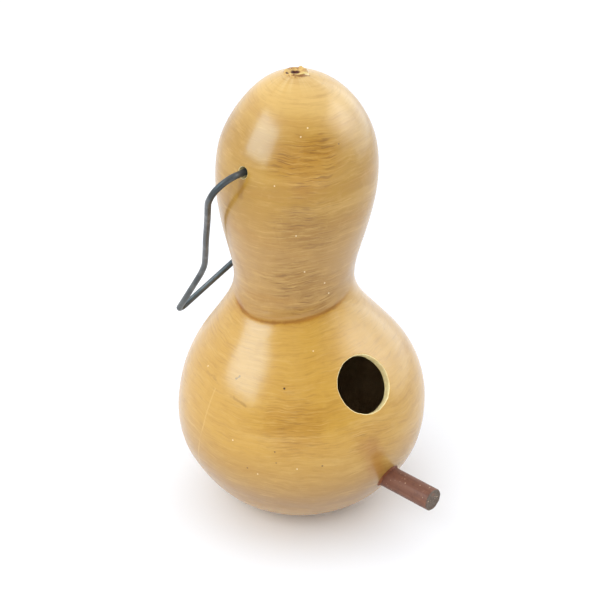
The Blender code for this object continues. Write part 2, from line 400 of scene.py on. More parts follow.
def shell(turn, along, inward=0.0):
    """Points (..., 3): the outline moved by (relief - inward) times its outward normal (dz/ds, -dr/ds)."""
    radius = np.interp(along, path_along, path_radius)
    height = np.interp(along, path_along, path_height)
    relief = fold_relief(turn, height) + scar_relief(turn, radius, height) + blossom_relief(radius, height)
    skin_share = np.clip(1 - inward / WALL, 0, 1)
    move = relief * skin_share + unevenness(turn, along) - inward
    moved_radius = radius + move * np.interp(along, path_along, slope_height)
    # The gourd wore flat where it stands, so nothing reaches below the table
    moved_height = np.maximum(height - move * np.interp(along, path_along, slope_radius), 0.0)
    lean = lean_at(height)
    x = moved_radius * np.sin(turn) + lean * math.cos(LEAN_DIRECTION)
    y = -moved_radius * np.cos(turn) + lean * math.sin(LEAN_DIRECTION)
    return np.stack([x, y, moved_height], axis=-1)


def spot(turn_degrees, height_mm):
    """One point of the skin, by a turn in degrees and a height in millimetres."""
    return shell(math.radians(turn_degrees), along_at(height_mm * MM))


print("top of the shell", np.round(shell(0.0, path_along[-1]) * 1000, 2), "mm")

# %% [markdown]
# ## Holes in a smooth surface
#
# A Boolean would leave slivers round each hole, and they show in a glossy skin. Instead a rectangle of
# the grid is left out, and rings of points lead from its edge to the hole's round rim, over a small
# rounded edge, through the wall and out to the grid of the inside. The rim has to lie on the shell, so
# its points are found by Newton's method, all of them at once.

# %% The four holes
ENTRANCE_TURN = math.radians(-9.7)
ENTRANCE_TILT = math.radians(35.5)
ENTRANCE_HEIGHT = 97.8 * MM
ENTRANCE_FROM_AXIS = 57.2 * MM
ENTRANCE_RADIUS = 15.9 * MM
PERCH_HEIGHT = 37.4 * MM
PERCH_RADIUS = 6.35 * MM
FIT_GAP = 0.3 * MM
HINGE_HEIGHT = 214.8 * MM
WIRE_HOLE_RADIUS = 3.0 * MM


def hole(turn, tilt, point, radius, sizes):
    """A hole's place, its directions right and up, and its sizes: edge, margin and tear in millimetres."""
    right = np.array([math.cos(turn), math.sin(turn), 0.0])
    up = np.cross(np.array(way(turn, tilt)), right)
    along = along_at(point[2])
    girth = float(np.interp(along, path_along, path_radius))
    edge, margin, torn = np.array(sizes) * MM
    return dict(turn=turn, along=along, girth=girth, point=np.array(point), right=right, up=up,
                radius=radius, edge=edge, margin=margin, torn=torn)


entrance_lean = float(lean_at(ENTRANCE_HEIGHT))
entrance_point = np.array(way(ENTRANCE_TURN)) * ENTRANCE_FROM_AXIS + [
    entrance_lean * math.cos(LEAN_DIRECTION),
    entrance_lean * math.sin(LEAN_DIRECTION),
    ENTRANCE_HEIGHT,
]
WIRE_SIZES = (0.4, 2.4, 0.08)
HOLES = {
    "entrance": hole(ENTRANCE_TURN, ENTRANCE_TILT, entrance_point, ENTRANCE_RADIUS, (0.7, 3.4, 0.20)),
    "perch": hole(0.0, 0.0, (0, 0, PERCH_HEIGHT), PERCH_RADIUS + FIT_GAP, (0.3, 3.0, 0.05)),
    "near wire": hole(-math.pi / 2, 0.0, (0, 0, HINGE_HEIGHT), WIRE_HOLE_RADIUS, WIRE_SIZES),
    "far wire": hole(math.pi / 2, 0.0, (0, 0, HINGE_HEIGHT), WIRE_HOLE_RADIUS, WIRE_SIZES),
}


def ring_on_shell(cut, radius, angle, inward, rounds=9):
    """Turns and distances along at which the shell meets a cylinder of `radius` round the hole's axis.

    Newton's method in two unknowns: the miss across the hole is driven to 0 with slopes from small steps.
    """
    turn = cut["turn"] + radius * np.cos(angle) / cut["girth"]
    along = cut["along"] + radius * np.sin(angle)
    step = 0.01 * MM
    for _ in range(rounds):
        place = shell(turn, along, inward)
        by_turn = (shell(turn + step / cut["girth"], along, inward) - place) / step
        by_along = (shell(turn, along + step, inward) - place) / step
        miss = place - cut["point"]
        a, b = by_turn @ cut["right"], by_along @ cut["right"]
        c, d = by_turn @ cut["up"], by_along @ cut["up"]
        e, f = miss @ cut["right"] - radius * np.cos(angle), miss @ cut["up"] - radius * np.sin(angle)
        size = a * d - b * c
        turn = turn - (d * e - b * f) / size / cut["girth"]
        along = along - (a * f - c * e) / size
    return turn, along


check_turn, check_along = ring_on_shell(HOLES["entrance"], ENTRANCE_RADIUS, np.linspace(0, 6, 7), 0.0)
print("entrance rim heights", np.round(shell(check_turn, check_along)[:, 2] * 1000, 1), "mm")

# %% [markdown]
# ## The gourd's mesh
#
# The skin has a row about every two and a half millimetres, and closer rows at the fold, round the scar
# and at the flat spot's corner. The inside uses every second row and column. Both are grids of numbered
# points, so faces are sums on whole arrays of numbers.

# %% Rows and columns
COLUMNS = 360
ROW_STEP = 2.4 * MM


def row_places():
    """Distances along for the rows, four times closer at the fold and the scar, twice at the corner."""
    crowd = 1 + 3.4 * bump(path_along - along_at(131.5 * MM), 9 * MM)
    crowd += 3.4 * bump(path_along - path_along[-1], 11 * MM) + 1.2 * bump(path_along - 22 * MM, 8 * MM)
    count = np.concatenate([[0.0], np.cumsum((crowd[1:] + crowd[:-1]) / 2 * np.diff(path_along))]) / ROW_STEP
    rows = 2 * int(count[-1] / 2) + 1
    return np.interp(np.linspace(0.5, count[-1] - 0.5, rows), count, path_along)


rows_along = row_places()
columns_turn = np.linspace(-math.pi, math.pi, COLUMNS, endpoint=False)
print(len(rows_along), "rows of", COLUMNS)

# %% [markdown]
# A face is a short list of point numbers, so whole bands of faces come from rolling and stacking rings of
# numbers. Where a hole goes through, a rectangle of the grid is left out, and its edge is one more ring
# that the hole's own rings join. Where a ring meets one with half as many points, three triangles fill
# each coarse step.


# %% Faces as whole arrays
def strip(first, second):
    """Quads between two closed rings of point numbers."""
    return np.stack([first, np.roll(first, -1), np.roll(second, -1), second], axis=-1)


def fan(ring, tip):
    """Triangles from a closed ring to one point."""
    return np.stack([np.roll(ring, -1), ring, np.full_like(ring, tip)], axis=-1)


def halving_strip(fine, coarse):
    """Triangles between a closed ring and one with half as many points: three to each coarse edge."""
    even, odd, following = fine[0::2], fine[1::2], np.roll(fine, -2)[0::2]
    further = np.roll(coarse, -1)
    parts = [(even, odd, coarse), (odd, following, further), (odd, further, coarse)]
    return np.concatenate([np.stack(part, axis=-1) for part in parts])


def block_of(cut):
    """The even-numbered columns and rows of the rectangle that is left out round a hole."""
    reach = cut["radius"] + cut["margin"]
    cell = 2 * math.pi / COLUMNS
    left = 2 * math.floor((cut["turn"] - reach / cut["girth"] + math.pi) / cell / 2)
    right = 2 * math.ceil((cut["turn"] + reach / cut["girth"] + math.pi) / cell / 2)
    low = 2 * (int(np.searchsorted(rows_along, cut["along"] - reach)) // 2)
    high = 2 * math.ceil(int(np.searchsorted(rows_along, cut["along"] + reach)) / 2)
    return left, right, low, high


def block_edge(block, step=1):
    """Columns and rows of the points on a rectangle's edge, anticlockwise seen from outside."""
    left, right, low, high = block
    across = np.arange(left, right, step)
    upward = np.arange(low, high, step)
    columns = [across, upward * 0 + right, np.arange(right, left, -step), upward * 0 + left]
    rows = [across * 0 + low, upward, across * 0 + high, np.arange(high, low, -step)]
    return np.concatenate(columns), np.concatenate(rows)


blocks = {name: block_of(cut) for name, cut in HOLES.items()}
print("blocks left out:", blocks)

# %% [markdown]
# The pieces of mesh are collected in one place that hands out point numbers. The skin's grid and the
# inside's grid come first, each with its two poles, and then the rings of each hole.


# %% A collector for points and faces
class Collector:
    """Keeps points, each with its turn and distance along, and faces, each with a finish number."""

    def __init__(self):
        self.points = []
        self.places = []
        self.faces = []
        self.finishes = []
        self.count = 0

    def add_points(self, points, turn=0.0, along=0.0):
        """Stores points and returns their numbers in the same layout."""
        flat = np.reshape(points, (-1, 3))
        numbers = self.count + np.arange(len(flat))
        places = [np.broadcast_to(value, np.shape(points)[:-1]).ravel() for value in (turn, along)]
        self.points.append(flat)
        self.places.append(np.stack(places))
        self.count += len(flat)
        return numbers.reshape(np.shape(points)[:-1])

    def add_faces(self, faces, finish):
        self.faces.append(faces)
        self.finishes.append(np.full(len(faces), finish))

    def piece(self, name, finishes):
        """Builds the mesh object from the points that the faces use, shaded smooth."""
        used = np.unique(np.concatenate([faces.ravel() for faces in self.faces]))
        renumber = np.zeros(self.count, int)
        renumber[used] = np.arange(len(used))
        mesh = bpy.data.meshes.new(name)
        listed = [face for faces in self.faces for face in renumber[faces].tolist()]
        mesh.from_pydata(np.concatenate(self.points)[used], [], listed)
        for finish in finishes:
            mesh.materials.append(finish)
        mesh.polygons.foreach_set("material_index", np.concatenate(self.finishes))
        mesh.shade_smooth()
        self.turn, self.along = np.concatenate(self.places, axis=1)[:, used]
        made = bpy.data.objects.new(name, mesh)
        scene.collection.objects.link(made)
        triangles = sum(len(faces) * (faces.shape[1] - 2) for faces in self.faces)
        print(name, len(used), "points,", triangles, "triangles")
        return made


def add_attribute(piece, name, values):
    """A number for each point of a piece's mesh, which its finish reads by name."""
    made = piece.data.attributes.new(name, "FLOAT", "POINT")
    made.data.foreach_set("value", values.astype(np.float32))


def add_grid(collector, inward, step, finish):
    """A closed grid of the shell with two poles, less the holes' blocks. Inside grids face the other way."""
    turn, along = np.meshgrid(columns_turn[::step], rows_along[::step])
    numbers = collector.add_points(shell(turn, along, inward), turn, along)
    ends = np.array([0.0, path_along[-1]])
    poles = collector.add_points(shell(np.zeros(2), ends, inward), 0.0, ends)
    rows, columns = np.meshgrid(np.arange(len(numbers) - 1), np.arange(numbers.shape[1]), indexing="ij")
    after = (columns + 1) % numbers.shape[1]
    keep = np.ones(rows.shape, bool)
    for left, right, low, high in blocks.values():
        in_columns = (columns * step >= left) & (columns * step < right)
        in_rows = (rows * step >= low) & (rows * step < high)
        keep &= ~(in_columns & in_rows)
    corners = [(rows, columns), (rows, after), (rows + 1, after), (rows + 1, columns)]
    quads = np.stack([numbers[corner] for corner in corners], axis=-1)[keep]
    for faces in (quads, fan(numbers[0], poles[0]), fan(numbers[-1], poles[1])[:, ::-1]):
        collector.add_faces(faces[:, ::-1] if inward else faces, finish)
    return numbers


# %% [markdown]
# The rings of a hole run from the skin's rectangle to the rim, round the cut edge, through the wall, and
# out to the inside's rectangle. The cut was made with a hole saw through dry, corky flesh, so its wall is
# a little rough.

# %% Rings through a hole
SKIN, FLESH, INSIDE = 0, 1, 2
RINGS_OUTSIDE = 6
RINGS_EDGE = 5
RINGS_WALL = 6


def tear(angle, seed):
    """A rough line from -1 to 1 round a hole, a sum of sines with unrelated beats."""
    beats = np.array([3, 7, 13, 22, 37])
    size = np.array([0.3, 0.3, 0.25, 0.2, 0.15])
    return np.sin(np.multiply.outer(angle, beats) + seed * beats) @ size


def add_hole(collector, cut, block, skin_numbers, inside_numbers, seed):
    """Adds every ring from the skin's rectangle, through the hole, to the inside's rectangle."""
    columns, rows = block_edge(block)
    edge_turn = columns_turn[columns]
    edge_along = rows_along[rows]
    angle = np.arctan2(edge_along - cut["along"], (edge_turn - cut["turn"]) * cut["girth"])
    torn = cut["radius"] + cut["torn"] * tear(angle, seed)
    ring = skin_numbers[rows, columns]
    rim_turn, rim_along = ring_on_shell(cut, torn + cut["edge"], angle, 0.0)
    # Across the skin, from the rectangle towards the rim
    for share in np.linspace(0, 1, RINGS_OUTSIDE + 1)[1:]:
        share = 1 - (1 - share) ** 1.5
        turn = edge_turn + share * (rim_turn - edge_turn)
        along = edge_along + share * (rim_along - edge_along)
        following = collector.add_points(shell(turn, along), turn, along)
        collector.add_faces(strip(ring, following), SKIN)
        ring = following
    # Round the cut edge: a quarter circle from the skin into the wall
    for bend in np.linspace(0, math.pi / 2, RINGS_EDGE + 1)[1:]:
        inward = cut["edge"] * (1 - math.cos(bend))
        turn, along = ring_on_shell(cut, torn + cut["edge"] * (1 - math.sin(bend)), angle, inward)
        following = collector.add_points(shell(turn, along, inward), turn, along)
        collector.add_faces(strip(ring, following), SKIN if bend < 0.5 else FLESH)
        ring = following
    # Through the wall, with rough flesh
    for depth in np.linspace(cut["edge"], WALL, RINGS_WALL + 1)[1:]:
        rough = cut["torn"] * tear(angle, seed + depth / MM) * (depth < WALL)
        turn, along = ring_on_shell(cut, torn + rough, angle, depth)
        following = collector.add_points(shell(turn, along, depth), turn, along)
        collector.add_faces(strip(ring, following), FLESH)
        ring = following
    # Across the inside, back to its own rectangle
    coarse_columns, coarse_rows = block_edge(block, step=2)
    for share in (0.3, 0.6, 0.85):
        back_turn = turn + share * (edge_turn - turn)
        back_along = along + share * (edge_along - along)
        following = collector.add_points(shell(back_turn, back_along, WALL), back_turn, back_along)
        collector.add_faces(strip(ring, following), INSIDE)
        ring = following
    collector.add_faces(halving_strip(ring, inside_numbers[coarse_rows // 2, coarse_columns // 2]), INSIDE)


# %% [markdown]
# ## The varnished skin
#
# The ground is honey brown: golden on the big bulb, tan at the neck and under the belly, and ochre on the
# small bulb, with a pale crown. Over it lie washes and thin dark dashes that run round
# the gourd, left where the green skin was scraped off, and a few stains, pin holes and specks of dust
# caught in the varnish. The varnish itself is a coat, so it keeps its own clear gloss over a duller skin.

# %% Colours of the skin
GOLD = (0.52, 0.290, 0.037)
TAN = (0.325, 0.180, 0.060)
PALE_TAN = (0.58, 0.342, 0.102)
NECK_TAN = (0.39, 0.217, 0.050)
OCHRE = (0.38, 0.200, 0.013)
PALE_HONEY = (0.62, 0.392, 0.105)
RUST = (0.37, 0.168, 0.010)
UMBER = (0.275, 0.136, 0.018)
STREAK_BROWN = (0.27, 0.122, 0.010)
DASH_BROWN = (0.18, 0.080, 0.009)
SMUDGE_BROWN = (0.33, 0.152, 0.012)
# Partly dirt and partly painted shade, in the fold and where it ends
FOLD_DIRT_AND_SHADE = (0.30, 0.105, 0.010)
FLESH_CREAM = (0.92, 0.81, 0.43)
SAP_BROWN = (0.34, 0.130, 0.016)
SPECK_WHITE = (0.92, 0.80, 0.48)
PIN_HOLE_SHADE = (0.06, 0.024, 0.009)
CHIP_GREY = (0.15, 0.10, 0.04)
CORK_BROWN = (0.36, 0.17, 0.06)
CORK_PALE = (0.66, 0.44, 0.15)
LIP_SHADE = (0.22, 0.085, 0.02)
LIP_PALE = (0.72, 0.56, 0.20)
PIT_SHADE_BLACK = (0.055, 0.012, 0.006)
PIT_RED = (0.17, 0.045, 0.02)
CORK_STAIN = (0.45, 0.27, 0.09)
CORK_DEEP = (0.80, 0.62, 0.26)
LINING_PALE = (0.38, 0.25, 0.12)
LINING_DARK = (0.27, 0.165, 0.075)
print("colours named, from gold", GOLD, "to the dark of a pin hole", PIN_HOLE_SHADE)


def nearest(vector, places):
    """Distance in metres to the nearest of some points."""
    reach = None
    for place in places:
        here = vector.node("VectorMath", {0: vector, 1: tuple(place)}, out="Value", operation="DISTANCE")
        reach = here if reach is None else reach.least(here)
    return reach


def from_line(vector, places):
    """Distance in metres to a line through some points: for each stretch a-b, to the nearest point of it."""
    reach = None
    for a, b in zip(places, places[1:]):
        run = np.array(b) - np.array(a)
        away = vector.node("VectorMath", {0: vector, 1: tuple(a)}, operation="SUBTRACT")
        ends = {0: away, 1: tuple(run / (run @ run))}
        share = vector.node("VectorMath", ends, out="Value", operation="DOT_PRODUCT")
        share = share.maths("ADD", share, 0.0, use_clamp=True)
        foot = vector.node("VectorMath", {0: tuple(run), "Scale": share}, operation="SCALE")
        here = vector.node("VectorMath", {0: away, 1: foot}, out="Value", operation="DISTANCE")
        reach = here if reach is None else reach.least(here)
    return reach


# %% [markdown]
# The marks that single this gourd out are few enough to place one by one: specks of dust, pin holes, a chip,
# a scratch, a crack, a painted shadow of the wire, and the drip under the wire's hole, partly a brown stain
# and partly painted shadow. Each has a turn round the gourd and a height, so it stays on the skin if the
# outline is changed. Those on the far side are made in the same manner.

# %% Where the marks are
# Turns in degrees and heights in millimetres, as a hand would mark them on the shell
SPECKS = ((-38.8, 239.0), (-45.2, 235.4), (-62.2, 211.9), (-46.0, 184.3), (-37.8, 160.1), (-17.9, 150.3),
          (-12.5, 142.9), (-107.1, 98.2), (-34.6, 116.4), (-48.5, 59.7), (-66.0, 53.5), (-79.0, 70.2),
          (35.0, 205.0), (80.0, 60.0), (140.0, 190.0), (165.0, 84.0))
PIN_HOLES = ((-55.0, 100.8), (61.0, 108.0), (155.0, 70.0))
SMALL_PINS = ((-57.7, 62.6), (-37.5, 61.1), (-13.4, 230.3), (-58.6, 69.0), (-71.0, 56.0), (100.0, 66.0))
CHIP = ((-82.2, 101.9), (-83.6, 100.4))
SCRATCH = ((-95.1, 91.5), (-96.0, 82.4), (-97.1, 70.2), (-100.1, 53.5), (-103.3, 40.8))
CRACK = ((-108.0, 96.5), (-98.8, 96.0), (-89.6, 92.6), (-77.4, 90.7), (-64.9, 86.2))
# A painted shadow of the wire: a brown line running down from its hole
WIRE_SHADOW = ((-98.0, 207.0), (-101.2, 193.5), (-105.3, 180.2), (-109.1, 166.1), (-101.8, 158.0), (-95.6, 147.8))
# Under the wire's hole: partly a brown stain, partly painted shadow of the wire
DRIP_AND_WIRE_SHADOW = ((-88.0, 211.5), (-88.0, 202.5))
SAP = ((-15.4, 66.0), (-12.1, 58.2), (-10.5, 49.0))
# Darker blushes where the skin stayed damp as it cured: turn, height, radius in millimetres, strength, colour
BLUSHES = (
    (-42.0, 222.0, 23.0, 0.75, RUST),
    (-38.0, 188.0, 24.0, 0.60, UMBER),
    (-42.0, 156.0, 22.0, 0.55, UMBER),
    (-30.0, 138.0, 16.0, 0.40, UMBER),
    (-50.0, 84.0, 26.0, 0.45, RUST),
    (-14.0, 70.0, 18.0, 0.30, RUST),
    (70.0, 205.0, 26.0, 0.60, RUST),
    (110.0, 90.0, 34.0, 0.45, RUST),
    (170.0, 150.0, 24.0, 0.55, UMBER),
    (-165.0, 215.0, 26.0, 0.60, RUST),
    (-140.0, 70.0, 30.0, 0.40, RUST),
)
# Painted shade where the fold ends on the left
FOLD_END_SHADE = ((-103.0, 130.6), (-108.0, 130.8))
# Lines on the skin: 1 if frayed, width and width of the core in millimetres, strength, colour
LINE_MARKS = (
    (SCRATCH, 0, 0.7, 0.25, 0.5, PALE_HONEY),
    (WIRE_SHADOW, 0, 2.6, 0.2, 0.26, STREAK_BROWN),
    (DRIP_AND_WIRE_SHADOW, 1, 3.0, 0.6, 0.6, STREAK_BROWN),
    (FOLD_END_SHADE, 1, 3.5, 0.5, 0.45, FOLD_DIRT_AND_SHADE),
    (CHIP, 1, 1.0, 0.3, 0.7, CHIP_GREY),
)


def marks(pairs):
    """Points on the skin for (turn, height) pairs."""
    return [spot(*pair) for pair in pairs]


print(len(SPECKS), "specks,", len(PIN_HOLES), "pin holes")

# %% [markdown]
# The ground is two ramps of colour over the height, one below the fold and one above it, and they change
# over sharply where the fold is sharp. Soft brown blushes stain it where the skin stayed damp as it cured.
# A blush is the distance to a point on the skin, with its edge broken up by noise.


# %% Ground colour of the skin
def ground_colour(at, height, above, crease):
    """Golden below the fold and tan to ochre above it; the change is sharp where the fold is sharp."""
    share = height / GOURD_HEIGHT + (grain(at, 14.0) - 0.5) * 0.08
    bulb = share.node("ValToRGB", {0: share}, stops=((0.0, PALE_TAN), (0.11, TAN), (0.27, GOLD), (1.0, GOLD)))
    upper = ((0.5, NECK_TAN), (0.66, NECK_TAN), (0.79, OCHRE), (0.90, OCHRE), (0.98, PALE_HONEY))
    neck = share.node("ValToRGB", {0: share}, stops=upper)
    width = (1 - crease) * 9.0 * MM + 0.7 * MM
    return mixed((above / width).rise(-1.0, 1.0), bulb, neck)


def blushed(at, colour):
    """Soft brown blushes with edges broken by noise. Returns the mask of all of them too."""
    broken = (grain(at, 55.0, 4.0, 0.65) - 0.5) * 30.0 * MM
    worn = None
    for turn, height, radius, strength, brown in BLUSHES:
        blush = (nearest(at, [spot(turn, height)]) + broken).rise(radius * MM, radius * 0.2 * MM)
        colour = mixed(blush * strength, colour, brown)
        worn = blush if worn is None else worn.most(blush)
    return colour, worn


print(len(BLUSHES), "blushes")

# %% [markdown]
# The streaks read a vector made of the plain x and y and, instead of the height, the distance along the
# outline. Noise stretched along x and y and squeezed along the third part gives dashes that follow the
# rings of the gourd and never close up at a seam. Soft noise added to the distance makes the streaks
# wander as the skin grew.


# %% Streaks of the skin
def streaked(at, ringwise, above, worn, colour):
    """Bands, streaks, smudges and dashes, each finer than the last. Returns the colour and the relief."""
    bands = grain(ringwise, (16.0, 16.0, 120.0), 3.0, 0.6)
    streaks = grain(ringwise, (55.0, 55.0, 560.0), 4.0, 0.65)
    threads = grain(ringwise, (95.0, 95.0, 1250.0), 2.0)
    mottle = grain(at, 170.0, 3.0, 0.6)
    upper = above.rise(-3.0 * MM, 3.0 * MM)
    strong = worn * (upper * 0.7 + 0.3)
    smudge = grain(ringwise, (90.0, 90.0, 420.0), 3.0, 0.6).rise(0.54, 0.68) * strong
    dash = grain(ringwise, (80.0, 80.0, 1250.0), 3.0).rise(0.57, 0.63) * (strong * 0.9 + 0.10)
    colour = covered(
        colour,
        (bands.rise(0.50, 0.72) * 0.32, RUST),
        (bands.rise(0.48, 0.28) * 0.26, PALE_HONEY),
        (mottle.rise(0.52, 0.72) * 0.12, STREAK_BROWN),
        (mottle.rise(0.46, 0.30) * 0.12, PALE_HONEY),
        (streaks.rise(0.52, 0.68) * (0.32 - upper * 0.10), SMUDGE_BROWN),
        (streaks.rise(0.46, 0.28) * 0.36, PALE_HONEY),
        (threads.rise(0.54, 0.68) * (worn * 0.25 + 0.10), STREAK_BROWN),
        (threads.rise(0.46, 0.32) * (worn * 0.24 + 0.10), PALE_HONEY),
        (smudge * 0.50, mixed(upper, SMUDGE_BROWN, STREAK_BROWN)),
        (dash * (0.85 - upper * 0.15), DASH_BROWN),
    )
    return colour, streaks * 0.16 + threads * 0.12 - dash * 0.22


# %% [markdown]
# Where the stalk broke off, a ragged corky scar is left, with a torn pale lip and a dark pit. Painted shade
# lies under the lip, and the pit's near black is partly its own dark and partly painted shade. The top of
# the gourd is almost level there, so the scar is painted as seen from above, by distances to points and
# lines in a flat plane. Faint pale rays run out from it, where the skin shrank towards the stalk.


# %% The stalk's scar
def on_scar(right, near):
    """A point of the scar, right of and nearer than its middle, in millimetres of its own bigger frame."""
    top = shell(0.0, path_along[-1])
    x = (right * FRONT[0] + near * FRONT[1]) * MM
    y = (right * FRONT[1] - near * FRONT[0]) * MM
    return top[0] / SCAR_SHARE + x, top[1] / SCAR_SHARE + y, 0.0


def scarred(at, colour):
    """Pale rays, the corky scar, its pale lip with painted shade below it, and the dark pit and notch, partly
    painted shade. Returns the scar's mask too.
    """
    flat = stretched(at, (1 / SCAR_SHARE, 1 / SCAR_SHARE, 0.0))
    cork = grain(at, 520.0, 3.0, 0.6)
    off = flat.node("VectorMath", {0: flat, 1: on_scar(0.0, 0.0)}, operation="SUBTRACT")
    ray_way = off.node("VectorMath", {0: off}, operation="NORMALIZE")
    rays = grain(ray_way, 5.0, 4.0, 0.7).rise(0.44, 0.68)
    upper = parts_of(at)[2].rise(GOURD_HEIGHT - 40.0 * MM, GOURD_HEIGHT - 25.0 * MM)
    out = nearest(flat, [on_scar(0.0, 0.0)])
    ragged = (cork - 0.5) * 3.0 * MM
    scar = (out + ragged).rise(7.8 * MM, 6.6 * MM) * upper
    pit = (nearest(flat, [on_scar(-0.4, -1.3)]) + ragged * 0.7).rise(3.3 * MM, 2.2 * MM) * upper
    notch = (nearest(flat, [on_scar(-4.7, 1.7)]) + ragged * 0.5).rise(1.7 * MM, 0.9 * MM) * upper
    lip = from_line(flat, [on_scar(-3.0, 4.6), on_scar(2.0, 5.0), on_scar(7.2, 2.8)]) + ragged * 0.3
    # Painted shade just below the lip, on its near side
    under = from_line(flat, [on_scar(-1.2, 6.2), on_scar(2.0, 6.5), on_scar(8.2, 4.2)]) + ragged * 0.4
    colour = covered(
        colour,
        (rays * out.rise(26.0 * MM, 9.0 * MM) * upper * 0.20, FLESH_CREAM),
        (scar, mixed(cork.rise(0.36, 0.54), CORK_BROWN, CORK_PALE)),
        (under.rise(1.0 * MM, 0.3 * MM) * upper * 0.8, LIP_SHADE),
        (lip.rise(1.3 * MM, 0.6 * MM) * upper * 0.9, LIP_PALE),
        # The pit and notch are near black: partly their own dark, partly painted shade of the hole
        (pit.most(notch), mixed(cork.rise(0.4, 0.7), PIT_SHADE_BLACK, PIT_RED)),
    )
    return colour, scar


print("middle of the scar", [round(v * SCAR_SHARE * 1000, 1) for v in on_scar(0.0, 0.0)[:2]], "mm")

# %% [markdown]
# The single marks are distances too, to points and to lines of points, with frayed edges. Then the finish
# is put together from the ground up: blushes, streaks, the brown in the fold, partly dirt and partly
# painted shade of its groove, the scar and the marks. The varnish is the shader's coat, and it is thin in
# the fold and on the scar, where the cork drank it up.


# %% The varnished skin
def marked(at, colour):
    """Single marks: lines, a crack, sap, specks of dust and pin holes. Returns the pin holes' mask too."""
    frayed = (grain(at, 420.0, 3.0, 0.6) - 0.5) * 2.4 * MM
    blurred = (grain(at, 110.0, 4.0, 0.65) - 0.5) * 12.0 * MM
    gaps = grain(at, 150.0).rise(0.40, 0.58)
    # Some of these lines are painted shade: the wire's shadow, part of the drip, and the spot where the fold
    # ends
    for line, fray, width, core, strength, tint in LINE_MARKS:
        mark = (from_line(at, marks(line)) + frayed * fray).rise(width * MM, core * MM)
        colour = mixed(mark * strength, colour, tint)
    crack = (from_line(at, marks(CRACK)) + frayed).rise(1.1 * MM, 0.2 * MM) * gaps
    sap = (from_line(at, marks(SAP)) + blurred).rise(8.5 * MM, 1.0 * MM)
    specks = (nearest(at, marks(SPECKS)) + frayed * 0.2).rise(0.55 * MM, 0.15 * MM)
    # The dark of each pin hole is painted shade inside it; the relief only dents the skin a little there
    pins = (nearest(at, marks(PIN_HOLES)) + frayed * 0.2).rise(0.75 * MM, 0.4 * MM)
    small = (nearest(at, marks(SMALL_PINS)) + frayed * 0.3).rise(0.6 * MM, 0.2 * MM)
    pins = pins.most(small * 0.7)
    colour = covered(colour, (crack * 0.5, STREAK_BROWN), (sap * 0.5, SAP_BROWN), (specks * 0.8, SPECK_WHITE))
    return mixed(pins, colour, PIN_HOLE_SHADE), pins


def varnished_skin():
    finish, shader, at = new_finish("varnished_skin")
    x, y, height = parts_of(at)
    along, above, crease = (
        at.node("Attribute", out="Fac", attribute_name=name) for name in ("along", "above_fold", "crease")
    )
    wander = (grain(at, 9.0, 1.0) - 0.5) * 26.0 * MM + (grain(at, 38.0, 1.0) - 0.5) * 6.0 * MM
    wander = wander + (grain(at, 130.0, 1.0) - 0.5) * 1.8 * MM
    ringwise = at.node("CombineXYZ", {0: x, 1: y, 2: along + wander})
    colour, worn = blushed(at, ground_colour(at, height, above, crease))
    colour, relief = streaked(at, ringwise, above, worn, colour)
    # The fold is painted brown along its line: partly dirt in the crease, partly painted shade of its groove
    fold_fray = (grain(at, 150.0, 4.0, 0.65) - 0.5) * 3.2 * MM
    off_line = above.maths("ABSOLUTE", above)
    depth = off_line + fold_fray
    dark = crease * grain(at, 45.0).rise(0.42, 0.60)
    dull = off_line.rise(2.2 * MM, 0.6 * MM) * crease
    colour = covered(
        colour,
        (depth.rise(4.5 * MM, 0.5 * MM) * crease * 0.30, RUST),
        (depth.rise(1.6 * MM, 0.2 * MM) * crease * 0.55, FOLD_DIRT_AND_SHADE),
        (depth.rise(1.3 * MM, 0.2 * MM) * dark * 0.40, DASH_BROWN),
    )
    colour, scar = scarred(at, colour)
    colour, pins = marked(at, colour)
    dust = grain(at, 260.0, 3.0)
    lumps = grain(at, 42.0, 1.0) * 2.4 + grain(at, 110.0, 2.0) * 0.6
    relief = relief + lumps - pins * 1.5 + grain(at, 520.0, 3.0, 0.6) * scar * 2.0
    set_shader(shader, at, Base_Color=colour, Roughness=0.5 + dust * 0.14, Specular_IOR_Level=0.15,
               Coat_Weight=1 - scar.most(dull) * 0.85, Coat_Roughness=0.23,
               Normal=raised(at, relief, 0.15 * MM))
    return finish


print(len(LINE_MARKS), "lines on the skin,", len(SMALL_PINS), "small pin holes")

# %% [markdown]
# Where the saw cut through the skin, the pale corky flesh shows. The inside of a dried gourd is lined
# with the dark, papery rest of its pulp.


# %% Cut flesh and dry lining
def cut_flesh():
    finish, shader, at = new_finish("cut_flesh")
    cork = grain(at, 700.0, 4.0, 0.6)
    stain = grain(at, 70.0, 2.0).rise(0.42, 0.62)
    colour = covered(FLESH_CREAM, (cork.rise(0.35, 0.7), CORK_DEEP), (stain * 0.3, CORK_STAIN))
    set_shader(shader, at, Base_Color=colour, Roughness=0.75, Normal=raised(at, cork, 0.25 * MM))
    return finish


def dry_lining():
    finish, shader, at = new_finish("dry_lining")
    pulp = grain(at, 120.0, 5.0, 0.65)
    colour = mixed(pulp.rise(0.35, 0.7), LINING_PALE, LINING_DARK)
    set_shader(shader, at, Base_Color=colour, Roughness=0.9, Normal=raised(at, pulp, 1.0 * MM))
    return finish


# %% [markdown]
# The shell is put together here with its three finishes. Every point carries three numbers for the
# varnished one: its distance along the outline, its height above the fold and how sharp the fold is
# there. They are worked out once in Python, where the tables are, and the shader only reads them.

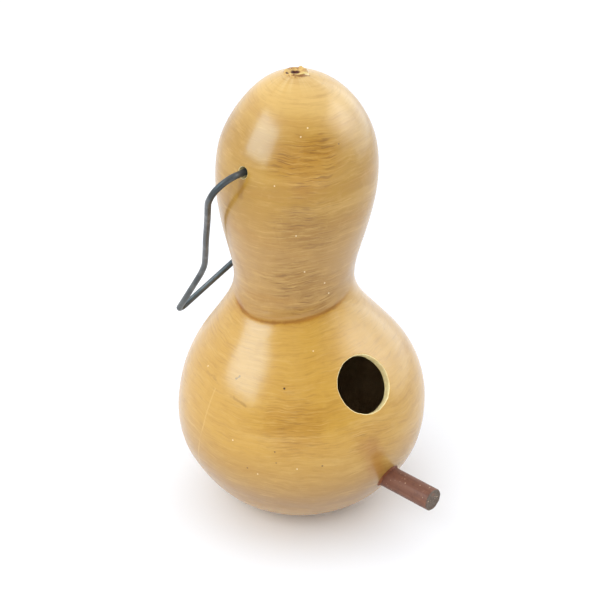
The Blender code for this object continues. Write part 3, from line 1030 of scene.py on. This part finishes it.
# %% Build the gourd
shell_parts = Collector()
skin_numbers = add_grid(shell_parts, 0.0, 1, SKIN)
inside_numbers = add_grid(shell_parts, WALL, 2, INSIDE)
for seed, (name, cut) in enumerate(HOLES.items()):
    add_hole(shell_parts, cut, blocks[name], skin_numbers, inside_numbers, seed)
gourd = shell_parts.piece("gourd_shell", (varnished_skin(), cut_flesh(), dry_lining()))
point_heights = np.interp(shell_parts.along, path_along, path_height)
add_attribute(gourd, "along", shell_parts.along)
add_attribute(gourd, "above_fold", point_heights - fold_line(shell_parts.turn))
add_attribute(gourd, "crease", crease_strength(shell_parts.turn))
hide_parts("gourd")
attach(gourd, "house")

# %% [markdown]
# ## The perch
#
# A length of half-inch dowel, stained red-brown and pushed into its hole with glue. Its sawn end was
# dabbed with stain as well, and end grain drinks it up and turns darker and greyer. The shape is a
# profile turned round the dowel's axis: a soft, slightly uneven edge, faint flats and a sawn end.

# %% Build the perch
PERCH_TIP = 98.0 * MM
PERCH_ROOT = 58.0 * MM
PERCH_SIDES = 120
PERCH_EDGE = 0.75 * MM
PERCH_SLACK = 0.08 * MM
PERCH_WAVE = 0.05 * MM
BODY_RINGS = 60
END_RINGS = 7
SAW_RISE = 0.10 * MM
SAW_STEP = 0.35 * MM
DOWEL_RED = (0.165, 0.060, 0.031)
DOWEL_FIBRE = (0.132, 0.046, 0.024)
DOWEL_PALE = (0.22, 0.092, 0.046)
DOWEL_TABLE_REFLECTION = (0.14, 0.095, 0.075)
DOWEL_ROOT = (0.11, 0.028, 0.016)
END_GRAIN = (0.140, 0.108, 0.082)
END_PORES = (0.095, 0.071, 0.053)
SCUFF_DARK = (0.085, 0.032, 0.018)
SCUFF_PALE = (0.27, 0.125, 0.08)
DUST_CREAM = (0.60, 0.42, 0.28)


def perch_points():
    """Rings of a turned rod along -Y: radius R less the edge's quarter circle, plus faint waves round it."""
    turn = np.linspace(0, math.tau, PERCH_SIDES, endpoint=False)
    bends = np.linspace(0, math.pi / 2, END_RINGS)[1:]
    body = np.linspace(PERCH_ROOT, PERCH_TIP - PERCH_EDGE, BODY_RINGS)
    sawn = np.zeros(END_RINGS)
    out = np.concatenate([[PERCH_ROOT], body, PERCH_TIP - PERCH_EDGE * (1 - np.sin(bends)), sawn + PERCH_TIP])
    inset = np.concatenate([[PERCH_EDGE], body * 0, PERCH_EDGE * (1 - np.cos(bends)), sawn])
    share = np.concatenate([np.ones(len(out) - END_RINGS), np.linspace(0.86, 0.02, END_RINGS)])
    out, inset, share = out[:, None], inset[:, None], share[:, None]
    wave = np.sin(7 * turn + 1.0) + 0.6 * np.sin(11 * turn + 40 * out) + 0.4 * np.sin(23 * turn)
    uneven = 1 + 0.35 * np.sin(3 * turn + 0.5) + 0.25 * np.sin(8 * turn)
    radius = (PERCH_RADIUS - PERCH_SLACK - inset * uneven) * share + PERCH_WAVE * wave * share**2
    saw = SAW_RISE * np.sin(radius * np.cos(turn - 0.7) / SAW_STEP) * (share < 1)
    far = np.minimum(out + saw - SAW_RISE * (share < 1), PERCH_TIP)
    return np.stack([radius * np.sin(turn), -far, PERCH_HEIGHT + radius * np.cos(turn)], axis=-1)


def stained_dowel():
    finish, shader, at = new_finish("stained_dowel")
    _, backward, height = parts_of(at)
    out = backward * -1.0
    fibre = grain(at, (900.0, 60.0, 900.0), 3.0, 0.6)
    broad = grain(at, (260.0, 22.0, 260.0), 2.0)
    pores = grain(at, (1500.0, 200.0, 1500.0), 2.0)
    scuffs = grain(at, 190.0, 4.0, 0.7)
    dust = grain(at, 620.0, 1.0).rise(0.69, 0.74)
    # The underside is painted greyer: a painted reflection of the white table below it
    under = height.rise(PERCH_HEIGHT + 1.0 * MM, PERCH_HEIGHT - 5.0 * MM)
    end = out.rise(PERCH_TIP - 0.5 * MM, PERCH_TIP - 0.15 * MM)
    colour = covered(
        mixed(fibre.rise(0.35, 0.75), DOWEL_RED, DOWEL_FIBRE),
        (broad.rise(0.45, 0.7) * 0.5, DOWEL_PALE),
        (under * 0.5, DOWEL_TABLE_REFLECTION),
        (end, mixed(pores.rise(0.4, 0.65), END_GRAIN, END_PORES)),
        (scuffs.rise(0.50, 0.66) * 0.5, SCUFF_DARK),
        (scuffs.rise(0.44, 0.32) * 0.45, SCUFF_PALE),
        (out.rise(78.0 * MM, 66.0 * MM) * 0.45, DOWEL_ROOT),
        (dust * 0.6, DUST_CREAM),
    )
    relief = fibre * 0.6 + scuffs * 1.2 + pores * end * 1.0
    set_shader(shader, at, Base_Color=colour, Roughness=0.68 + end * 0.2, Coat_Weight=0.1 - end * 0.1,
               Coat_Roughness=0.35, Normal=raised(at, relief, 0.12 * MM))
    return finish


def turned_piece(name, rings, finish):
    """A closed skin over rings of points, capped by a point in the middle of the first and the last ring."""
    parts = Collector()
    numbers = parts.add_points(rings)
    tips = parts.add_points(rings[[0, -1]].mean(axis=1))
    for first, second in zip(numbers, numbers[1:]):
        parts.add_faces(strip(first, second), 0)
    parts.add_faces(fan(numbers[0], tips[0]), 0)
    parts.add_faces(fan(numbers[-1], tips[1])[:, ::-1], 0)
    return parts.piece(name, (finish,))


perch = turned_piece("perch_dowel", perch_points(), stained_dowel())
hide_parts("perch")
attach(perch, "house")

# %% [markdown]
# ## The glue at the perch
#
# Glue squeezed out round the dowel and dried to a dark amber fillet, wider on one side where it ran. It
# is a ring with a hollow profile from the dowel to the skin; each point of its foot lies on the shell.

# %% Build the glue
GLUE_SIDES = 96
GLUE_STEPS = 8
GLUE_AMBER = (0.27, 0.085, 0.022)
GLUE_BROWN = (0.16, 0.045, 0.014)
GLUE_DARK = (0.12, 0.032, 0.013)


def glue_points():
    """Rings of a fillet: a curve from the dowel to the skin, hollow by (1 - t)^2, then back under both."""
    turn = np.linspace(0, math.tau, GLUE_SIDES, endpoint=False)
    cut = HOLES["perch"]
    run_side = bump((turn - 2.6 + math.pi) % math.tau - math.pi, 1.0)
    wide = 0.9 * MM + 0.5 * MM * run_side + 0.15 * MM * tear(turn, 3.0)
    high = 1.0 * MM + 0.3 * MM * tear(turn, 5.0)
    foot = shell(*ring_on_shell(cut, PERCH_RADIUS + wide, turn, 0.0))
    wall = shell(*ring_on_shell(cut, PERCH_RADIUS + 0.1 * MM, turn, 0.0))
    rings = []
    for t in np.linspace(0, 1, GLUE_STEPS):
        spread = PERCH_RADIUS - 0.05 * MM + (wide + 0.05 * MM) * t
        near = wall[:, 1] * (1 - t) + foot[:, 1] * t
        out = near - (high * (1 - t) ** 2 + 0.04 * MM)
        rings.append(np.stack([spread * np.cos(turn), out, PERCH_HEIGHT + spread * np.sin(turn)], axis=-1))
    under = np.stack([(PERCH_RADIUS + wide) * np.cos(turn), foot[:, 1] + 0.5 * MM,
                      PERCH_HEIGHT + (PERCH_RADIUS + wide) * np.sin(turn)], axis=-1)
    deep = np.stack([(PERCH_RADIUS - 0.05 * MM) * np.cos(turn), wall[:, 1] + 0.8 * MM,
                     PERCH_HEIGHT + (PERCH_RADIUS - 0.05 * MM) * np.sin(turn)], axis=-1)
    return np.array([*rings, under, deep])


def amber_glue():
    finish, shader, at = new_finish("amber_glue")
    cloudy = grain(at, 300.0, 2.0)
    height = parts_of(at)[2]
    above = height.rise(PERCH_HEIGHT - 1.0 * MM, PERCH_HEIGHT + 6.0 * MM)
    colour = covered(GLUE_AMBER, (cloudy.rise(0.4, 0.65), GLUE_BROWN), (above * 0.7, GLUE_DARK))
    set_shader(shader, at, Base_Color=colour, Roughness=0.6, Specular_IOR_Level=0.25,
               Normal=raised(at, cloudy, 0.3 * MM))
    return finish


glue_rings = glue_points()
glue_parts = Collector()
glue_numbers = glue_parts.add_points(glue_rings)
for first, second in zip(glue_numbers, np.roll(glue_numbers, -1, axis=0)):
    glue_parts.add_faces(strip(second, first), 0)
glue = glue_parts.piece("perch_glue", (amber_glue(),))
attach(glue, "house")

# %% [markdown]
# ## The wire bail
#
# One piece of dark annealed wire goes in through the two small holes, down both sides and to a tight bend
# at the tip. It lies in one plane, so a tube along it needs no twisting frame: each ring stands on the
# plane's normal and on the direction square to the wire in that plane.

# %% The wire's route
WIRE_RADIUS = 1.75 * MM
WIRE_END = 31.0
BAIL_SWING = math.radians(36.0)
# Each row: distance across (left is minus), distance below the hinge line and bend radius, in millimetres
BAIL_CORNERS = np.array([
    (-WIRE_END, 0.0, 0.0), (-58.3, 0.0, 10.5), (-58.3, 16.8, 26.0), (-9.3, 115.0, 60.0), (-3.8, 171.4, 2.6),
    (28.6, 111.8, 60.0), (55.0, 16.8, 26.0), (55.0, 0.0, 10.5), (WIRE_END, 0.0, 0.0),
])
BEND_POINTS = 24
WIRE_STEP = 1.2 * MM
WIRE_SIDES = 20
WAVER = 0.10 * MM
WAVER_SPAN = 9 * MM
WAVER_CALM = 40 * MM


def unit(run):
    return run / np.linalg.norm(run)


def rounded_route(corners):
    """Straight runs joined at each corner by an arc that touches both, in the bail's own plane."""
    route = [corners[0, :2]]
    for before, corner, after in zip(corners, corners[1:], corners[2:]):
        back = unit((before - corner)[:2])
        ahead = unit((after - corner)[:2])
        half = math.acos(float(np.clip(back @ ahead, -1, 1))) / 2
        centre = corner[:2] + unit(back + ahead) * corner[2] / math.sin(half)
        first = corner[:2] + back * corner[2] / math.tan(half) - centre
        last = corner[:2] + ahead * corner[2] / math.tan(half) - centre
        sweep = math.pi - 2 * half
        share = np.linspace(0, 1, BEND_POINTS)[:, None]
        arc = first * np.sin((1 - share) * sweep) + last * np.sin(share * sweep)
        route.extend(centre + arc / math.sin(sweep))
    return np.array([*route, corners[-1, :2]]) * MM


def wire_points():
    """Rings of a tube: the route plus the wire's radius times (cos a, sin a), across and out of its plane."""
    corners = rounded_route(BAIL_CORNERS)
    length = np.concatenate([[0.0], np.cumsum(np.linalg.norm(np.diff(corners, axis=0), axis=1))])
    even = np.linspace(0, length[-1], int(length[-1] / WIRE_STEP))
    flat = np.stack([np.interp(even, length, corners[:, i]) for i in range(2)], axis=-1)
    ends = np.clip(np.minimum(even, even[-1] - even) / WAVER_CALM, 0, 1)
    flat[:, 0] += WAVER * np.sin(even / WAVER_SPAN) * ends
    tangent = np.gradient(flat, axis=0)
    tangent /= np.linalg.norm(tangent, axis=1)[:, None]
    across = np.stack([tangent[:, 1], -tangent[:, 0]], axis=-1)
    around = np.linspace(0, math.tau, WIRE_SIDES, endpoint=False)
    # The last rings draw in, so the cut ends are not sharp
    radius = np.full(len(even), WIRE_RADIUS)
    radius[[0, -1]] = 0.7 * WIRE_RADIUS
    radius[[1, -2]] = 0.95 * WIRE_RADIUS
    in_plane = flat[:, None, :] + radius[:, None, None] * np.cos(around)[None, :, None] * across[:, None, :]
    off_plane = radius[:, None] * np.sin(around)[None, :]
    sine, cosine = math.sin(BAIL_SWING), math.cos(BAIL_SWING)
    below = in_plane[..., 1]
    y = off_plane * cosine + below * sine
    z = HINGE_HEIGHT + off_plane * sine - below * cosine
    print("wire", round(length[-1] * 1000), "mm long")
    return np.stack([in_plane[..., 0], y, z], axis=-1)


# %% [markdown]
# Annealed wire keeps a dark oxide skin with a dull shine. Handling and the nail that it hangs on rub it
# brighter in patches. Towards the tip it is paler still: partly that wear, partly painted light where the
# tip looks washed out.


# %% Build the bail
OXIDE = (0.045, 0.052, 0.056)
RUBBED = (0.13, 0.135, 0.135)
TIP_WEAR_AND_SHEEN = (0.16, 0.175, 0.17)
BLACK_SCALE = (0.022, 0.024, 0.026)


def dark_wire():
    finish, shader, at = new_finish("dark_wire")
    scale = grain(at, 500.0, 4.0, 0.6)
    rubbed = grain(at, 90.0, 3.0).rise(0.45, 0.7)
    # Paler towards the tip: partly wear, partly painted light
    tip = parts_of(at)[2].rise(130.0 * MM, 75.0 * MM)
    flakes = scale.rise(0.55, 0.75)
    colour = covered(OXIDE, (rubbed * 0.6, RUBBED), (tip * 0.5, TIP_WEAR_AND_SHEEN), (flakes * 0.5, BLACK_SCALE))
    set_shader(shader, at, Base_Color=colour, Metallic=0.55, Roughness=0.40 - rubbed * 0.08,
               Normal=raised(at, scale, 0.04 * MM))
    return finish


bail = turned_piece("wire_bail", wire_points(), dark_wire())
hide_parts("hanger")
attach(bail, "bail")

# %% [markdown]
# ## Table, sky and lamps
#
# The skin's own reflections say how it is lit: a window-like lamp to the left, a broad softer one to the
# right, white all round at the sides, and a dim room on the side that the camera looks from. A white sky
# with one dim side stands for that, and the table is a large plain sheet.

# %% Table and sky
TABLE_HALF = 6.0
TABLE_WHITE = (0.905, 0.93, 0.965)
table_mesh = bpy.data.meshes.new("table")
corners = np.array([(-1, -1, 0), (1, -1, 0), (1, 1, 0), (-1, 1, 0)]) * TABLE_HALF
table_mesh.from_pydata(corners, [], [(0, 1, 2, 3)])
table = bpy.data.objects.new("table", table_mesh)
scene.collection.objects.link(table)
white, white_shader, white_at = new_finish("white_table")
set_shader(white_shader, white_at, Base_Color=(*TABLE_WHITE, 1.0), Roughness=0.9, Specular_IOR_Level=0.2)
table_mesh.materials.append(white)

SKY_STRENGTH = 1.33
ROOM_DIMNESS = 0.91
sky = bpy.data.worlds.new("tent")
sky.use_nodes = True
sky_light = sky.node_tree.nodes["Background"]
sky_brush = Layer(sky.node_tree)
facing = sky_brush.node("TexCoord", out="Generated")
room_way = tuple(way(CAMERA_TURN, math.radians(12.0)))
to_room = facing.node("VectorMath", {0: facing, 1: room_way}, out="Value", operation="DOT_PRODUCT")
sky_light.inputs["Color"].default_value = (0.99, 0.99, 1.0, 1.0)
sky_brush.fill(sky_light.inputs["Strength"], SKY_STRENGTH - to_room.rise(0.35, 0.85) * ROOM_DIMNESS)
scene.world = sky
print("table and sky ready")

# %% [markdown]
# Four area lamps stand where the highlights point and show only in gloss, so a highlight can be moved or
# dimmed and the colours stay. A fifth, soft and to the left, lights the colours and casts the faint
# shadow.

# %% Lamps
MIDDLE = Vector((0.0, 0.0, 120.0 * MM))


def lamp(name, turn_degrees, rise_degrees, distance, wide, high, brightness, colour, gloss=True):
    """An area lamp that faces the gourd and shows only in gloss, or only in the diffuse light.

    Its power is brightness times pi times its area, so size is free.
    """
    made = bpy.data.objects.new(name, bpy.data.lights.new(name, "AREA"))
    made.data.shape = "RECTANGLE"
    made.data.size = wide
    made.data.size_y = high
    made.data.energy = brightness * math.pi * wide * high
    made.data.color = colour
    aim(made, MIDDLE + way(math.radians(turn_degrees), math.radians(rise_degrees)) * distance, MIDDLE)
    made.visible_diffuse = not gloss
    made.visible_glossy = gloss
    scene.collection.objects.link(made)


lamp("left_window", -112.0, 31.5, 1.3, 0.90, 0.70, 6.6, (0.53, 0.79, 1.0))
lamp("right_tent", 47.0, 34.0, 1.5, 1.20, 1.00, 1.6, (0.82, 0.92, 1.0))
lamp("right_lamp", 48.0, 38.0, 1.4, 0.70, 0.60, 1.9, (0.85, 0.93, 1.0))
lamp("right_wall", 74.0, 20.0, 1.9, 2.20, 1.70, 1.5, (0.76, 0.92, 1.0))
lamp("fill", -72.0, 33.0, 1.6, 1.6, 1.3, 2.15, (1.0, 1.0, 1.0), gloss=False)
print("five lamps ready")

# %% [markdown]
# ## Finish
#
# The dressed model has to stay in the solids' box.
